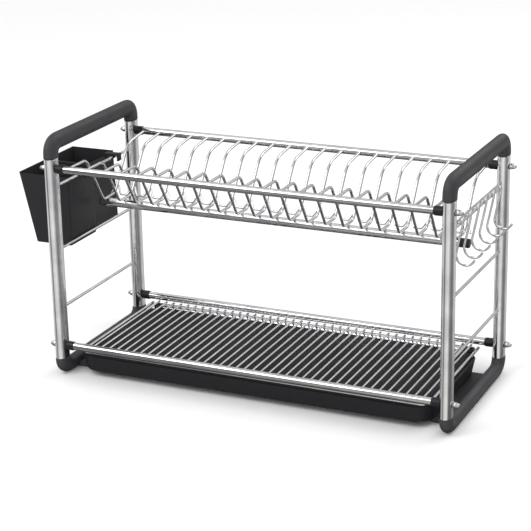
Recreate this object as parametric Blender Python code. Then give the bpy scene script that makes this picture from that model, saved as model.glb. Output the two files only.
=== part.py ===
"""Two-tier dish drying rack: bolted tube frame, plate rack, wire shelf, drip tray, cutlery box and cup hooks.

Units are metres, +Z is up, +X runs along the rack to its right end and +Y runs from its front to its rear.
The origin lies on the ground, under the middle of the whole rack.
"""

import math

import bmesh
import bpy
from mathutils import Matrix, Vector

# Overall frame
UPRIGHT_SPACING_X = 0.540
UPRIGHT_SPACING_Y = 0.2156
UPRIGHT_VISIBLE_HEIGHT = 0.275
RUNNER_HEIGHT = 0.024
HANDLE_RISE = 0.0312
WELD_GAP = 0.0003

# How finely curves are faceted, and how far cutters reach past what they cut
ROD_SEGMENTS = 10
CAP_SEGMENTS = 16
TURNED_STEPS = 12
WIRE_SIDES = 6
MITRE_LIMIT = 0.5
MERGE_DISTANCE = 1e-7
SMOOTH_ANGLE = math.radians(35)
CUTTER_REACH = 0.01

# Oval uprights
UPRIGHT_HALF_X = 0.008
UPRIGHT_HALF_Y = 0.0125
UPRIGHT_WALL = 0.0011
UPRIGHT_SEGMENTS = 18

# Moulded handles and runners
GRIP_LIP = 0.0005
HANDLE_THICKNESS = 0.0228
HANDLE_COLLAR_STRAIGHT = 0.003
RUNNER_THICKNESS = 0.018
CORNER_STEPS = 4
CORNER_FULLNESS = 2.4
PLUG_LENGTH = 0.008
PLUG_CLEARANCE = 0.0003
SOLE_FLATTENING = 0.0008
SHELF_WIDTH = 0.024
SHELF_HEIGHT = 0.0077
SHELF_END_SETBACK = 0.030

# Rails, tie rods and their fasteners
RAIL_RADIUS = 0.005
RAIL_WALL = 0.001
UPPER_RAIL_DROP = 0.014
LOWER_RAIL_RISE = 0.017
TIE_ROD_RADIUS = 0.002
ROD_HOLE_CLEARANCE = 0.0003
BUSHING_RADIUS = 0.006
BUSHING_LENGTH = 0.011
SPIGOT_LENGTH = 0.006
WASHER_RADIUS = 0.0045
WASHER_THICKNESS = 0.0008
NUT_ACROSS_FLATS = 0.007
NUT_HEX_HEIGHT = 0.0032
NUT_HEIGHT = 0.008
NUT_DOME_INSET = 0.0003
NUT_DOME_STEPS = 3
NUT_DOME_TURN = math.radians(80)
NUT_BORE_DEPTH = 0.0055
THREAD_IN_NUT = 0.004

# Side cross rods
CROSS_ROD_RADIUS = 0.002
CROSS_ROD_HEIGHTS = {"upper": 0.235, "middle": 0.149, "lower": 0.068}
CROSS_ROD_SOCKET = 0.003

# Plate rack
DIVIDER_COUNT = 21
DIVIDER_RADIUS = 0.0019
DIVIDER_END_MARGIN = 0.0025
SHOULDER_Y = -0.0566
VALLEY_HALF_WIDTH = 0.016
KNEE_Y = 0.058
KNEE_DROP = 0.005
DIVIDER_BENDS = ((0.013, 2), (0.010, 2), (0.010, 2), (0.030, 3))
RACK_TUBE_RADIUS = 0.006
RACK_TUBE_HEIGHT = 0.188
RACK_TUBE_HALF_LENGTH = 0.2615
TUBE_CAP_LENGTHS = {"left": 0.0015, "right": 0.014}
SHELF_TUBE_CAP_LENGTHS = {"left": 0.014, "right": 0.014}
TUBE_CAP_SPIGOT = 0.006
TUBE_WALL = 0.001
WAVE_RADIUS = 0.0015
WAVE_RISE = 0.012
WAVE_HALF_BASE = 0.0075
VALLEY_Z = RUNNER_HEIGHT + RACK_TUBE_HEIGHT + RACK_TUBE_RADIUS + WELD_GAP + DIVIDER_RADIUS

# Lower wire shelf
SHELF_WIRE_COUNT = 41
SHELF_WIRE_RADIUS = 0.0015
SHELF_WIRE_HEIGHT = 0.0115
SHELF_WIRE_HALF_SPAN = 0.2335
SHELF_FRONT_SETBACK = 0.0045
SHELF_WIRE_OVERHANG = 0.0005
SHELF_BORDER_RADIUS = 0.002
SHELF_BORDER_HALF_LENGTH = 0.2435
SHELF_BORDER_CORNER = 0.012
SHELF_BORDER_STEPS = 4
SHELF_TUBE_RADIUS = 0.006
SHELF_TUBE_SETBACK = 0.0078
SHELF_TUBE_HALF_LENGTH = 0.2385
WIRE_OVERLAP = 0.0008

# Drip tray
TRAY_HALF_LENGTH = 0.250
TRAY_FRONT_OVERHANG = 0.0005
TRAY_REAR_CLEARANCE = 0.004
TRAY_HEIGHT = 0.022
TRAY_WALL = 0.0018
TRAY_CORNER = 0.025
TRAY_CORNER_STEPS = 5
TRAY_DRAFT = 0.004
TRAY_FOOT_CHAMFER = 0.003
TRAY_CLEARANCE = 0.0003

# Cutlery box
BOX_FRONT_Y = -0.065
BOX_REAR_Y = 0.078
BOX_PARTITION_Y = 0.004
BOX_WIDTH_TOP = 0.066
BOX_WIDTH_BOTTOM = 0.044
BOX_REAR_STEP = 0.010
BOX_BOTTOM_HEIGHT = 0.142
BOX_RIM_HEIGHT = 0.237
BOX_WALL = 0.002
BOX_CORNER = 0.005
BOX_CORNER_STEPS = 3
BOX_ROD_CLEARANCE = 0.0008
BOX_HOOK_WIDTH = 0.010
BOX_HOOK_THICKNESS = 0.0022
BOX_HOOK_DROP = 0.006
BOX_HOOK_THROAT = 0.0035
BOX_HOOK_ROOT = 0.009
BOX_HOOK_PAD = 0.0004
BOX_FRONT_HOOK_INSET = 0.032
BOX_REAR_HOOK_INSET = 0.020
BOX_DRAIN_RADIUS = 0.003
BOX_DRAIN_SHARES = (0.25, 0.5, 0.75)

# Cup hooks
HOOK_COUNT = 6
HOOK_PITCH = 0.031
HOOK_FIRST_Y = -0.068
HOOK_RADIUS = 0.0015
HOOK_ROD_CLEARANCE = 0.0004
HOOK_STEM = 0.038
HOOK_SLANT = math.radians(11.5)
HOOK_BEND_RADIUS = 0.012
HOOK_TAIL_TURN = math.radians(210)
HOOK_LIP_TURN = math.radians(340)
HOOK_TIE_OVERHANG = 0.003
HOOK_STEPS = 6

# Materials: name, colour, roughness and metallic share
CHARCOAL_PLASTIC = ("charcoal_plastic", (0.030, 0.030, 0.034), 0.45, 0.0)
BLACK_PLASTIC = ("black_bushing_plastic", (0.012, 0.012, 0.013), 0.55, 0.0)
POLISHED_CHROME = ("polished_chrome", (0.80, 0.81, 0.83), 0.12, 1.0)
WIRE_CHROME = ("wire_chrome", (0.82, 0.83, 0.84), 0.18, 1.0)
BRIGHT_ZINC = ("bright_zinc", (0.74, 0.75, 0.76), 0.25, 1.0)

# Worked out from the sizes above
FRONT_Y = -UPRIGHT_SPACING_Y / 2
REAR_Y = UPRIGHT_SPACING_Y / 2
SIDE_X = UPRIGHT_SPACING_X / 2
UPRIGHT_TOP = RUNNER_HEIGHT + UPRIGHT_VISIBLE_HEIGHT
UPPER_RAIL_Z = UPRIGHT_TOP - UPPER_RAIL_DROP
LOWER_RAIL_Z = RUNNER_HEIGHT + LOWER_RAIL_RISE
BUSHING_OUTER_X = SIDE_X - UPRIGHT_HALF_X
RAIL_HALF_LENGTH = BUSHING_OUTER_X - BUSHING_LENGTH
WASHER_X = SIDE_X + UPRIGHT_HALF_X + WELD_GAP
NUT_X = WASHER_X + WASHER_THICKNESS + WELD_GAP
NUT_END_X = NUT_X + NUT_HEIGHT
UPPER_ROD_Z = RUNNER_HEIGHT + CROSS_ROD_HEIGHTS["upper"]
BOX_INNER_X = -SIDE_X - CROSS_ROD_RADIUS - BOX_ROD_CLEARANCE
HOOK_LOOP_RADIUS = CROSS_ROD_RADIUS + HOOK_ROD_CLEARANCE + HOOK_RADIUS
HOOK_BEND_X = (
    SIDE_X
    + (HOOK_LOOP_RADIUS + HOOK_BEND_RADIUS) * math.cos(HOOK_SLANT)
    - HOOK_STEM * math.sin(HOOK_SLANT)
)
HOOK_BEND_Z = (
    UPPER_ROD_Z
    - (HOOK_LOOP_RADIUS + HOOK_BEND_RADIUS) * math.sin(HOOK_SLANT)
    - HOOK_STEM * math.cos(HOOK_SLANT)
)
HOOK_END_X = HOOK_BEND_X + (HOOK_BEND_RADIUS + HOOK_RADIUS) * math.cos(HOOK_LIP_TURN)
LEFT_END_X = BOX_INNER_X - BOX_REAR_STEP - BOX_WIDTH_TOP
RIGHT_END_X = max(NUT_END_X, HOOK_END_X)
FRAME_X = -(LEFT_END_X + RIGHT_END_X) / 2

SIDES = {"left": -1, "right": 1}
DEPTHS = {"front": FRONT_Y, "rear": REAR_Y}
LEVELS = {"upper": UPPER_RAIL_Z, "lower": LOWER_RAIL_Z}


def clear_scene():
    for thing in list(bpy.data.objects):
        bpy.data.objects.remove(thing)


def make_material(name, colour, roughness, metallic):
    material = bpy.data.materials.new(name)
    material.use_nodes = True
    shader = material.node_tree.nodes["Principled BSDF"]
    shader.inputs["Base Color"].default_value = (*colour, 1.0)
    shader.inputs["Roughness"].default_value = roughness
    shader.inputs["Metallic"].default_value = metallic
    return material


def place(name, body, material, parent, origin=(0.0, 0.0, 0.0)):
    """Turns a finished solid into an object whose origin lies at the given point of the frame."""
    bmesh.ops.remove_doubles(body, verts=body.verts, dist=MERGE_DISTANCE)
    bmesh.ops.recalc_face_normals(body, faces=body.faces)
    bmesh.ops.translate(body, verts=body.verts, vec=-Vector(origin))
    mesh = bpy.data.meshes.new(name)
    body.to_mesh(mesh)
    body.free()
    mesh.materials.append(material)
    mesh.shade_smooth()
    mesh.set_sharp_from_angle(angle=SMOOTH_ANGLE)
    thing = bpy.data.objects.new(name, mesh)
    bpy.context.collection.objects.link(thing)
    thing.parent = parent
    thing.location = origin
    return thing


def combine(body, tool, operation):
    """Joins two closed solids or cuts one with the other, and returns the result."""
    things = []
    for name, solid in (("body", body), ("tool", tool)):
        bmesh.ops.recalc_face_normals(solid, faces=solid.faces)
        mesh = bpy.data.meshes.new(name)
        solid.to_mesh(mesh)
        solid.free()
        things.append(bpy.data.objects.new(name, mesh))
        bpy.context.collection.objects.link(things[-1])
    modifier = things[0].modifiers.new("combine", "BOOLEAN")
    modifier.operation = operation
    modifier.solver = "EXACT"
    modifier.object = things[1]
    graph = bpy.context.evaluated_depsgraph_get()
    mesh = bpy.data.meshes.new_from_object(things[0].evaluated_get(graph))
    result = bmesh.new()
    result.from_mesh(mesh)
    for thing in things:
        bpy.data.objects.remove(thing)
    return result


def loft(body, rings):
    """Skins a row of rings that hold the same number of points, and caps both ends."""
    loops = [[body.verts.new(point) for point in ring] for ring in rings]
    for first, second in zip(loops, loops[1:]):
        for i in range(len(first)):
            j = (i + 1) % len(first)
            body.faces.new((first[i], first[j], second[j], second[i]))
    body.faces.new(list(reversed(loops[0])))
    body.faces.new(loops[-1])
    return body


def oval(half_x, half_y, count=UPRIGHT_SEGMENTS):
    turns = [math.tau * i / count for i in range(count)]
    return [(half_x * math.cos(turn), half_y * math.sin(turn)) for turn in turns]


def oval_prism(x, y, low, high, half_x, half_y):
    outline = oval(half_x, half_y)
    return loft(bmesh.new(), [[Vector((x + a, y + b, z)) for a, b in outline] for z in (low, high)])


def rod(body, start, end, radius, segments=ROD_SEGMENTS):
    """Adds a closed cylinder between two points."""
    start = Vector(start)
    run = Vector(end) - start
    turn = Vector((0, 0, 1)).rotation_difference(run).to_matrix().to_4x4()
    matrix = Matrix.Translation(start + run / 2) @ turn
    bmesh.ops.create_cone(
        body,
        cap_ends=True,
        segments=segments,
        radius1=radius,
        radius2=radius,
        depth=run.length,
        matrix=matrix,
    )
    return body


def turned(profile, y, z, outward=1):
    """Spins a closed profile of (distance along X, radius) points about a line parallel to X."""
    body = bmesh.new()
    points = [body.verts.new((outward * along, y, z + radius)) for along, radius in profile]
    edges = [body.edges.new((points[i - 1], points[i])) for i in range(len(points))]
    bmesh.ops.spin(
        body,
        geom=points + edges,
        cent=(0, y, z),
        axis=(1, 0, 0),
        angle=math.tau,
        steps=TURNED_STEPS,
        use_merge=True,
    )
    bmesh.ops.recalc_face_normals(body, faces=body.faces)
    return body


def rounded_path(corners, radius, steps):
    """Returns the corners joined by straight runs, with an arc of the radius at each inner corner."""
    corners = [Vector(corner) for corner in corners]
    points = [corners[0]]
    for before, corner, after in zip(corners, corners[1:], corners[2:]):
        towards_before = (before - corner).normalized()
        towards_after = (after - corner).normalized()
        half_angle = towards_before.angle(towards_after) / 2
        centre = corner + (towards_before + towards_after).normalized() * (radius / math.sin(half_angle))
        tangent = radius / math.tan(half_angle)
        first = (corner + towards_before * tangent - centre).normalized()
        last = (corner + towards_after * tangent - centre).normalized()
        points += [centre + first.slerp(last, i / steps) * radius for i in range(steps + 1)]
    return points + [corners[-1]]


def wire(body, path, radius, normal):
    """Sweeps a round wire along a flat path, mitred at its points. The normal is that of the path's plane."""
    path = [Vector(point) for point in path]
    normal = Vector(normal)
    rings = []
    for i, point in enumerate(path):
        before = path[i - 1] if i else None
        after = path[i + 1] if i + 1 < len(path) else None
        arriving = (point - before).normalized() if before else (after - point).normalized()
        leaving = (after - point).normalized() if after else arriving
        along = (arriving + leaving).normalized()
        across = normal.cross(along)
        stretch = 1 / max(along.dot(arriving), MITRE_LIMIT)
        ring = []
        for k in range(WIRE_SIDES):
            turn = math.tau * (k + 0.5) / WIRE_SIDES
            ring.append(point + normal * radius * math.cos(turn) + across * radius * stretch * math.sin(turn))
        rings.append(ring)
    return loft(body, rings)


# ------------------------------------------------------------------ handles, runners and uprights


def section_ring(side_x, pivot_y, pivot_z, turn, inner, outer, half_width):
    """An oval section that stands across a bent bar, at an angle about the bend's pivot line."""
    middle = (inner + outer) / 2
    half_depth = (outer - inner) / 2
    outward = Vector((0, math.cos(turn), math.sin(turn)))
    pivot = Vector((side_x, pivot_y, pivot_z))
    return [
        pivot + Vector((a, 0, 0)) + outward * (middle + b) for a, b in oval(half_width, half_depth)
    ]


def bent_bar(side, bar_z, collar_z, thickness, collar_straight):
    """A moulded bar that joins the front and rear uprights, with a collar and a plug at both ends.

    It bends up to a bar above the collars (a handle) or down to a bar below them (a runner).
    """
    side_x = side * SIDE_X
    up = 1 if bar_z > collar_z else -1
    half_width = UPRIGHT_HALF_X + GRIP_LIP
    half_collar = UPRIGHT_HALF_Y + GRIP_LIP
    inner_face_z = bar_z - up * thickness / 2
    pivot_z = collar_z + up * collar_straight
    inner_radius = abs(inner_face_z - pivot_z)
    collar_outer = inner_radius + 2 * half_collar
    bar_outer = inner_radius + thickness
    plug_half_x = UPRIGHT_HALF_X - UPRIGHT_WALL - PLUG_CLEARANCE
    plug_half_y = UPRIGHT_HALF_Y - UPRIGHT_WALL - PLUG_CLEARANCE
    plug_end = collar_z - up * PLUG_LENGTH
    stations = (
        (plug_half_x, plug_half_y, plug_end),
        (plug_half_x, plug_half_y, collar_z),
        (half_width, half_collar, collar_z),
    )
    rings = []
    for end, collar_y in ((-1, FRONT_Y), (1, REAR_Y)):
        pivot_y = collar_y - end * (half_collar + inner_radius)
        corner = []
        for i in range(CORNER_STEPS + 1):
            bend = math.pi / 2 * i / CORNER_STEPS
            share = (math.cos(bend) / collar_outer) ** CORNER_FULLNESS
            share += (math.sin(bend) / bar_outer) ** CORNER_FULLNESS
            outer = share ** (-1 / CORNER_FULLNESS)
            across = Vector((0, end * math.cos(bend), up * math.sin(bend)))
            turn = math.atan2(across.z, across.y)
            corner.append(section_ring(side_x, pivot_y, pivot_z, turn, inner_radius, outer, half_width))
        ends = []
        for half_x, half_y, z in stations:
            ends.append([Vector((side_x + a, collar_y + end * b, z)) for a, b in oval(half_x, half_y)])
        line = ends + (corner if collar_straight else corner[1:])
        rings += line if end < 0 else list(reversed(line))
    return loft(bmesh.new(), rings)


def build_handle(side):
    bar_z = UPRIGHT_TOP + HANDLE_RISE - HANDLE_THICKNESS / 2
    return bent_bar(side, bar_z, UPRIGHT_TOP + WELD_GAP, HANDLE_THICKNESS, HANDLE_COLLAR_STRAIGHT)


def build_runner(side):
    """The lower bar with a flat sole, and the inner ledge that the drip tray stands on."""
    thickness = RUNNER_THICKNESS + SOLE_FLATTENING
    bar_z = RUNNER_THICKNESS - thickness / 2
    body = bent_bar(side, bar_z, RUNNER_HEIGHT - WELD_GAP, thickness, 0.0)
    for vertex in body.verts:
        vertex.co.z = max(vertex.co.z, 0.0)
    inner = SIDE_X - UPRIGHT_HALF_X - SHELF_WIDTH
    half_length = REAR_Y - SHELF_END_SETBACK
    ledge = bmesh.new()
    bmesh.ops.create_cube(ledge, size=1.0)
    size = (SHELF_WIDTH + UPRIGHT_HALF_X, 2 * half_length, SHELF_HEIGHT)
    bmesh.ops.scale(ledge, verts=ledge.verts, vec=size)
    centre = (side * (inner + size[0] / 2), 0, SHELF_HEIGHT / 2)
    bmesh.ops.translate(ledge, verts=ledge.verts, vec=centre)
    return combine(body, ledge, "UNION")


def build_upright(side, depth_y):
    """An oval tube, drilled for the two tie rods and, on its inner face, for the three cross rods."""
    x = side * SIDE_X
    low, high = RUNNER_HEIGHT, UPRIGHT_TOP
    outer = oval_prism(x, depth_y, low, high, UPRIGHT_HALF_X, UPRIGHT_HALF_Y)
    bore = oval_prism(
        x,
        depth_y,
        low - CUTTER_REACH,
        high + CUTTER_REACH,
        UPRIGHT_HALF_X - UPRIGHT_WALL,
        UPRIGHT_HALF_Y - UPRIGHT_WALL,
    )
    body = combine(outer, bore, "DIFFERENCE")
    drills = bmesh.new()
    tie_hole = TIE_ROD_RADIUS + ROD_HOLE_CLEARANCE
    reach = UPRIGHT_HALF_X + CUTTER_REACH
    for z in LEVELS.values():
        rod(drills, (x - reach, depth_y, z), (x + reach, depth_y, z), tie_hole)
    inner_y = depth_y - math.copysign(UPRIGHT_HALF_Y + CUTTER_REACH, depth_y)
    for height in CROSS_ROD_HEIGHTS.values():
        z = RUNNER_HEIGHT + height
        rod(drills, (x, depth_y, z), (x, inner_y, z), CROSS_ROD_RADIUS + ROD_HOLE_CLEARANCE)
    return combine(body, drills, "DIFFERENCE")


def build_cross_rod(side, height):
    reach = REAR_Y - UPRIGHT_HALF_Y + CROSS_ROD_SOCKET
    z = RUNNER_HEIGHT + height
    return rod(bmesh.new(), (side * SIDE_X, -reach, z), (side * SIDE_X, reach, z), CROSS_ROD_RADIUS)


# ------------------------------------------------------------------ rails, tie rods and fasteners


def hollow_tube(low_x, high_x, radius, wall, y, z):
    profile = (
        (low_x, radius - wall),
        (high_x, radius - wall),
        (high_x, radius),
        (low_x, radius),
    )
    return turned(profile, y, z)


def build_tie_rod(y, z):
    reach = NUT_X + THREAD_IN_NUT
    return rod(bmesh.new(), (-reach, y, z), (reach, y, z), TIE_ROD_RADIUS)


def build_bushing(side, y, z):
    """A plastic spacer: a spigot inside the rail, a bore for the tie rod and a saddle against the upright."""
    bore = TIE_ROD_RADIUS + ROD_HOLE_CLEARANCE
    spigot = RAIL_RADIUS - RAIL_WALL - PLUG_CLEARANCE
    shoulder_x = RAIL_HALF_LENGTH + WELD_GAP
    profile = (
        (shoulder_x - SPIGOT_LENGTH, bore),
        (SIDE_X, bore),
        (SIDE_X, BUSHING_RADIUS),
        (shoulder_x, BUSHING_RADIUS),
        (shoulder_x, spigot),
        (shoulder_x - SPIGOT_LENGTH, spigot),
    )
    body = turned(profile, y, z, outward=side)
    saddle = oval_prism(
        side * SIDE_X,
        y,
        z - 2 * BUSHING_RADIUS,
        z + 2 * BUSHING_RADIUS,
        UPRIGHT_HALF_X + WELD_GAP,
        UPRIGHT_HALF_Y + WELD_GAP,
    )
    return combine(body, saddle, "DIFFERENCE")


def build_washer(side, y, z):
    bore = TIE_ROD_RADIUS + ROD_HOLE_CLEARANCE
    far = WASHER_X + WASHER_THICKNESS
    profile = ((WASHER_X, bore), (far, bore), (far, WASHER_RADIUS), (WASHER_X, WASHER_RADIUS))
    return turned(profile, y, z, outward=side)


def build_cap_nut(side, y, z):
    """A hexagon with a dome over it and a blind threaded bore."""
    hexagon = rod(
        bmesh.new(),
        (side * NUT_X, y, z),
        (side * (NUT_X + NUT_HEX_HEIGHT), y, z),
        NUT_ACROSS_FLATS / 2 / math.cos(math.pi / 6),
        segments=6,
    )
    dome_radius = NUT_ACROSS_FLATS / 2 - NUT_DOME_INSET
    dome_height = NUT_HEIGHT - NUT_HEX_HEIGHT
    stations = [(NUT_X + NUT_HEX_HEIGHT / 2, dome_radius)]
    for i in range(NUT_DOME_STEPS + 1):
        bend = NUT_DOME_TURN * i / NUT_DOME_STEPS
        stations.append((NUT_X + NUT_HEX_HEIGHT + dome_height * math.sin(bend), dome_radius * math.cos(bend)))
    rings = []
    for along, radius in stations:
        outline = oval(radius, radius, ROD_SEGMENTS)
        rings.append([Vector((side * along, y + a, z + b)) for a, b in outline])
    body = combine(hexagon, loft(bmesh.new(), rings), "UNION")
    bore = rod(
        bmesh.new(),
        (side * (NUT_X - CUTTER_REACH), y, z),
        (side * (NUT_X + NUT_BORE_DEPTH), y, z),
        TIE_ROD_RADIUS + ROD_HOLE_CLEARANCE,
    )
    return combine(body, bore, "DIFFERENCE")


def build_tube_cap(side, half_length, length, radius, y, z):
    """A plastic end cap whose spigot plugs the end of a chrome tube."""
    shoulder_x = half_length - length + WELD_GAP
    spigot = radius - TUBE_WALL - PLUG_CLEARANCE
    spigot_x = shoulder_x - TUBE_CAP_SPIGOT
    root_x = half_length - length / 2
    body = rod(bmesh.new(), (side * shoulder_x, y, z), (side * half_length, y, z), radius, CAP_SEGMENTS)
    plug = rod(bmesh.new(), (side * spigot_x, y, z), (side * root_x, y, z), spigot)
    return combine(body, plug, "UNION")


# ------------------------------------------------------------------ plate rack and lower shelf


def divider_path(x):
    """One divider: level off the front rail, down to the valley on the rack tube, and up to the rear rail."""
    end = UPRIGHT_SPACING_Y / 2 - RAIL_RADIUS - WELD_GAP
    corners = (
        (x, -end, UPPER_RAIL_Z),
        (x, SHOULDER_Y, UPPER_RAIL_Z),
        (x, -VALLEY_HALF_WIDTH, VALLEY_Z),
        (x, VALLEY_HALF_WIDTH, VALLEY_Z),
        (x, KNEE_Y, UPPER_RAIL_Z - KNEE_DROP),
        (x, end, UPPER_RAIL_Z),
    )
    path = [corners[0]]
    for i, (radius, steps) in enumerate(DIVIDER_BENDS):
        path += rounded_path(corners[i : i + 3], radius, steps)[1:-1]
    return path + [corners[-1]]


def divider_positions():
    span = RAIL_HALF_LENGTH - DIVIDER_END_MARGIN
    pitch = 2 * span / (DIVIDER_COUNT - 1)
    return [-span + pitch * i for i in range(DIVIDER_COUNT)]


def build_plate_rack():
    """Dividers side by side, tied together by one wave wire that rises at every divider's rear leg."""
    dividers = bmesh.new()
    for x in divider_positions():
        wire(dividers, divider_path(x), DIVIDER_RADIUS, (1, 0, 0))
    leg = Vector((0, KNEE_Y - VALLEY_HALF_WIDTH, UPPER_RAIL_Z - KNEE_DROP - VALLEY_Z)).normalized()
    behind = Vector((-1, 0, 0)).cross(leg)
    base = Vector((0, VALLEY_HALF_WIDTH, VALLEY_Z)) + behind * (DIVIDER_RADIUS + WAVE_RADIUS - WIRE_OVERLAP)
    peak = base + leg * (WAVE_RISE / leg.z)
    path = []
    for x in divider_positions():
        path += [base + Vector((x - WAVE_HALF_BASE, 0, 0)), peak + Vector((x, 0, 0))]
        path += [base + Vector((x + WAVE_HALF_BASE, 0, 0))]
    wave = wire(bmesh.new(), path, WAVE_RADIUS, behind)
    return combine(dividers, wave, "UNION")


def build_lower_shelf():
    """Cross wires laid on a border wire that runs along the front and back along both ends."""
    wires = bmesh.new()
    z = RUNNER_HEIGHT + SHELF_WIRE_HEIGHT
    front = FRONT_Y + SHELF_FRONT_SETBACK
    rear = REAR_Y - SHELF_FRONT_SETBACK
    pitch = 2 * SHELF_WIRE_HALF_SPAN / (SHELF_WIRE_COUNT - 1)
    for i in range(SHELF_WIRE_COUNT):
        x = -SHELF_WIRE_HALF_SPAN + pitch * i
        wire(wires, [(x, front - SHELF_WIRE_OVERHANG, z), (x, rear, z)], SHELF_WIRE_RADIUS, (1, 0, 0))
    border_z = z - SHELF_WIRE_RADIUS - SHELF_BORDER_RADIUS + WIRE_OVERLAP
    corner_x = SHELF_BORDER_HALF_LENGTH
    corners = (
        (-corner_x, rear, border_z),
        (-corner_x, front, border_z),
        (corner_x, front, border_z),
        (corner_x, rear, border_z),
    )
    border = bmesh.new()
    border_path = rounded_path(corners, SHELF_BORDER_CORNER, SHELF_BORDER_STEPS)
    wire(border, border_path, SHELF_BORDER_RADIUS, (0, 0, 1))
    return combine(border, wires, "UNION")


# ------------------------------------------------------------------ drip tray, cutlery box and cup hooks


def rounded_rectangle(low_x, high_x, low_y, high_y, radius, steps):
    """Corner arcs of a rectangle, anticlockwise."""
    centres = (
        (high_x - radius, high_y - radius, 0),
        (low_x + radius, high_y - radius, 1),
        (low_x + radius, low_y + radius, 2),
        (high_x - radius, low_y + radius, 3),
    )
    points = []
    for x, y, quarter in centres:
        for i in range(steps + 1):
            turn = math.pi / 2 * (quarter + i / steps)
            points.append((x + radius * math.cos(turn), y + radius * math.sin(turn)))
    return points


def build_drip_tray():
    """A shallow tray with drafted walls, open at the top."""
    low_z = SHELF_HEIGHT + TRAY_CLEARANCE
    high_z = low_z + TRAY_HEIGHT
    front = FRONT_Y - TRAY_FRONT_OVERHANG
    tube_front = REAR_Y - SHELF_TUBE_SETBACK - SHELF_TUBE_RADIUS
    rear = tube_front - TRAY_REAR_CLEARANCE

    def ring(z, inset):
        outline = rounded_rectangle(
            -TRAY_HALF_LENGTH + inset,
            TRAY_HALF_LENGTH - inset,
            front + inset,
            rear - inset,
            TRAY_CORNER - inset,
            TRAY_CORNER_STEPS,
        )
        return [Vector((x, y, z)) for x, y in outline]

    rings = [
        ring(low_z, TRAY_DRAFT + TRAY_FOOT_CHAMFER),
        ring(low_z + TRAY_FOOT_CHAMFER, TRAY_DRAFT),
        ring(high_z, 0.0),
        ring(high_z, TRAY_WALL),
        ring(low_z + TRAY_FOOT_CHAMFER, TRAY_DRAFT + TRAY_WALL),
        ring(low_z + TRAY_WALL, TRAY_DRAFT + TRAY_WALL + TRAY_FOOT_CHAMFER),
    ]
    return loft(bmesh.new(), rings)


def box_cell(front, rear, inner_x, width_top, width_bottom, low, high, corner):
    """A tapered block of the cutlery box between two heights. Its outer side leans in towards the bottom."""
    rings = []
    for z, width in ((low, width_bottom), (high, width_top)):
        outline = rounded_rectangle(inner_x - width, inner_x, front, rear, corner, BOX_CORNER_STEPS)
        rings.append([Vector((x, y, z)) for x, y in outline])
    return loft(bmesh.new(), rings)


def build_cutlery_box():
    """Two tapered cells, the front one wider towards the frame, with drain holes and two rod hooks."""
    low = RUNNER_HEIGHT + BOX_BOTTOM_HEIGHT
    high = RUNNER_HEIGHT + BOX_RIM_HEIGHT
    rear_inner_x = BOX_INNER_X - BOX_REAR_STEP
    cells = (
        (BOX_FRONT_Y, BOX_PARTITION_Y, BOX_INNER_X, BOX_REAR_STEP),
        (BOX_PARTITION_Y - BOX_WALL, BOX_REAR_Y, rear_inner_x, 0.0),
    )
    body = None
    for front, rear, inner_x, extra in cells:
        block = box_cell(
            front, rear, inner_x, BOX_WIDTH_TOP + extra, BOX_WIDTH_BOTTOM + extra, low, high, BOX_CORNER
        )
        body = combine(body, block, "UNION") if body else block
    for front, rear, inner_x, extra in cells:
        taper = (BOX_WIDTH_TOP - BOX_WIDTH_BOTTOM) / (high - low)
        floor = low + BOX_WALL
        hollow = box_cell(
            front + BOX_WALL,
            rear - BOX_WALL,
            inner_x - BOX_WALL,
            BOX_WIDTH_TOP + extra - 2 * BOX_WALL + taper * CUTTER_REACH,
            BOX_WIDTH_BOTTOM + extra - 2 * BOX_WALL + taper * BOX_WALL,
            floor,
            high + CUTTER_REACH,
            BOX_CORNER - BOX_WALL,
        )
        body = combine(body, hollow, "DIFFERENCE")
    drains = bmesh.new()
    for front, rear, inner_x, extra in cells:
        middle_x = inner_x - (BOX_WIDTH_BOTTOM + extra) / 2
        for share in BOX_DRAIN_SHARES:
            y = front + (rear - front) * share
            bottom = (middle_x, y, low - CUTTER_REACH)
            top = (middle_x, y, low + CUTTER_REACH)
            rod(drains, bottom, top, BOX_DRAIN_RADIUS)
    body = combine(body, drains, "DIFFERENCE")
    front_hook = box_hook(BOX_FRONT_Y + BOX_FRONT_HOOK_INSET, BOX_INNER_X)
    rear_hook = box_hook(BOX_REAR_Y - BOX_REAR_HOOK_INSET, rear_inner_x)
    body = combine(body, front_hook, "UNION")
    return combine(body, rear_hook, "UNION")


def box_hook(y, wall_x):
    """A strap that reaches from the box's wall over the upper cross rod and down behind it."""
    over = UPPER_ROD_Z + CROSS_ROD_RADIUS + WELD_GAP
    inner = -SIDE_X + CROSS_ROD_RADIUS + BOX_HOOK_THROAT
    top = over + BOX_HOOK_THICKNESS
    strap_end = wall_x - BOX_WALL + BOX_HOOK_PAD
    tip_z = over - BOX_HOOK_DROP - CROSS_ROD_RADIUS
    outline = (
        (strap_end, over - BOX_HOOK_ROOT),
        (wall_x + BOX_HOOK_PAD, over - BOX_HOOK_ROOT),
        (wall_x + BOX_HOOK_PAD, over),
        (inner, over),
        (inner, tip_z),
        (inner + BOX_HOOK_THICKNESS, tip_z),
        (inner + BOX_HOOK_THICKNESS, top),
        (strap_end, top),
    )
    half = BOX_HOOK_WIDTH / 2
    return loft(bmesh.new(), [[Vector((x, y + end, z)) for x, z in outline] for end in (-half, half)])


def arc(centre_x, centre_z, y, radius, first, last, steps):
    """Points of an arc in the plane across the rack, from one turn to another."""
    turns = [first + (last - first) * i / steps for i in range(steps + 1)]
    return [(centre_x + radius * math.cos(turn), y, centre_z + radius * math.sin(turn)) for turn in turns]


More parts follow.
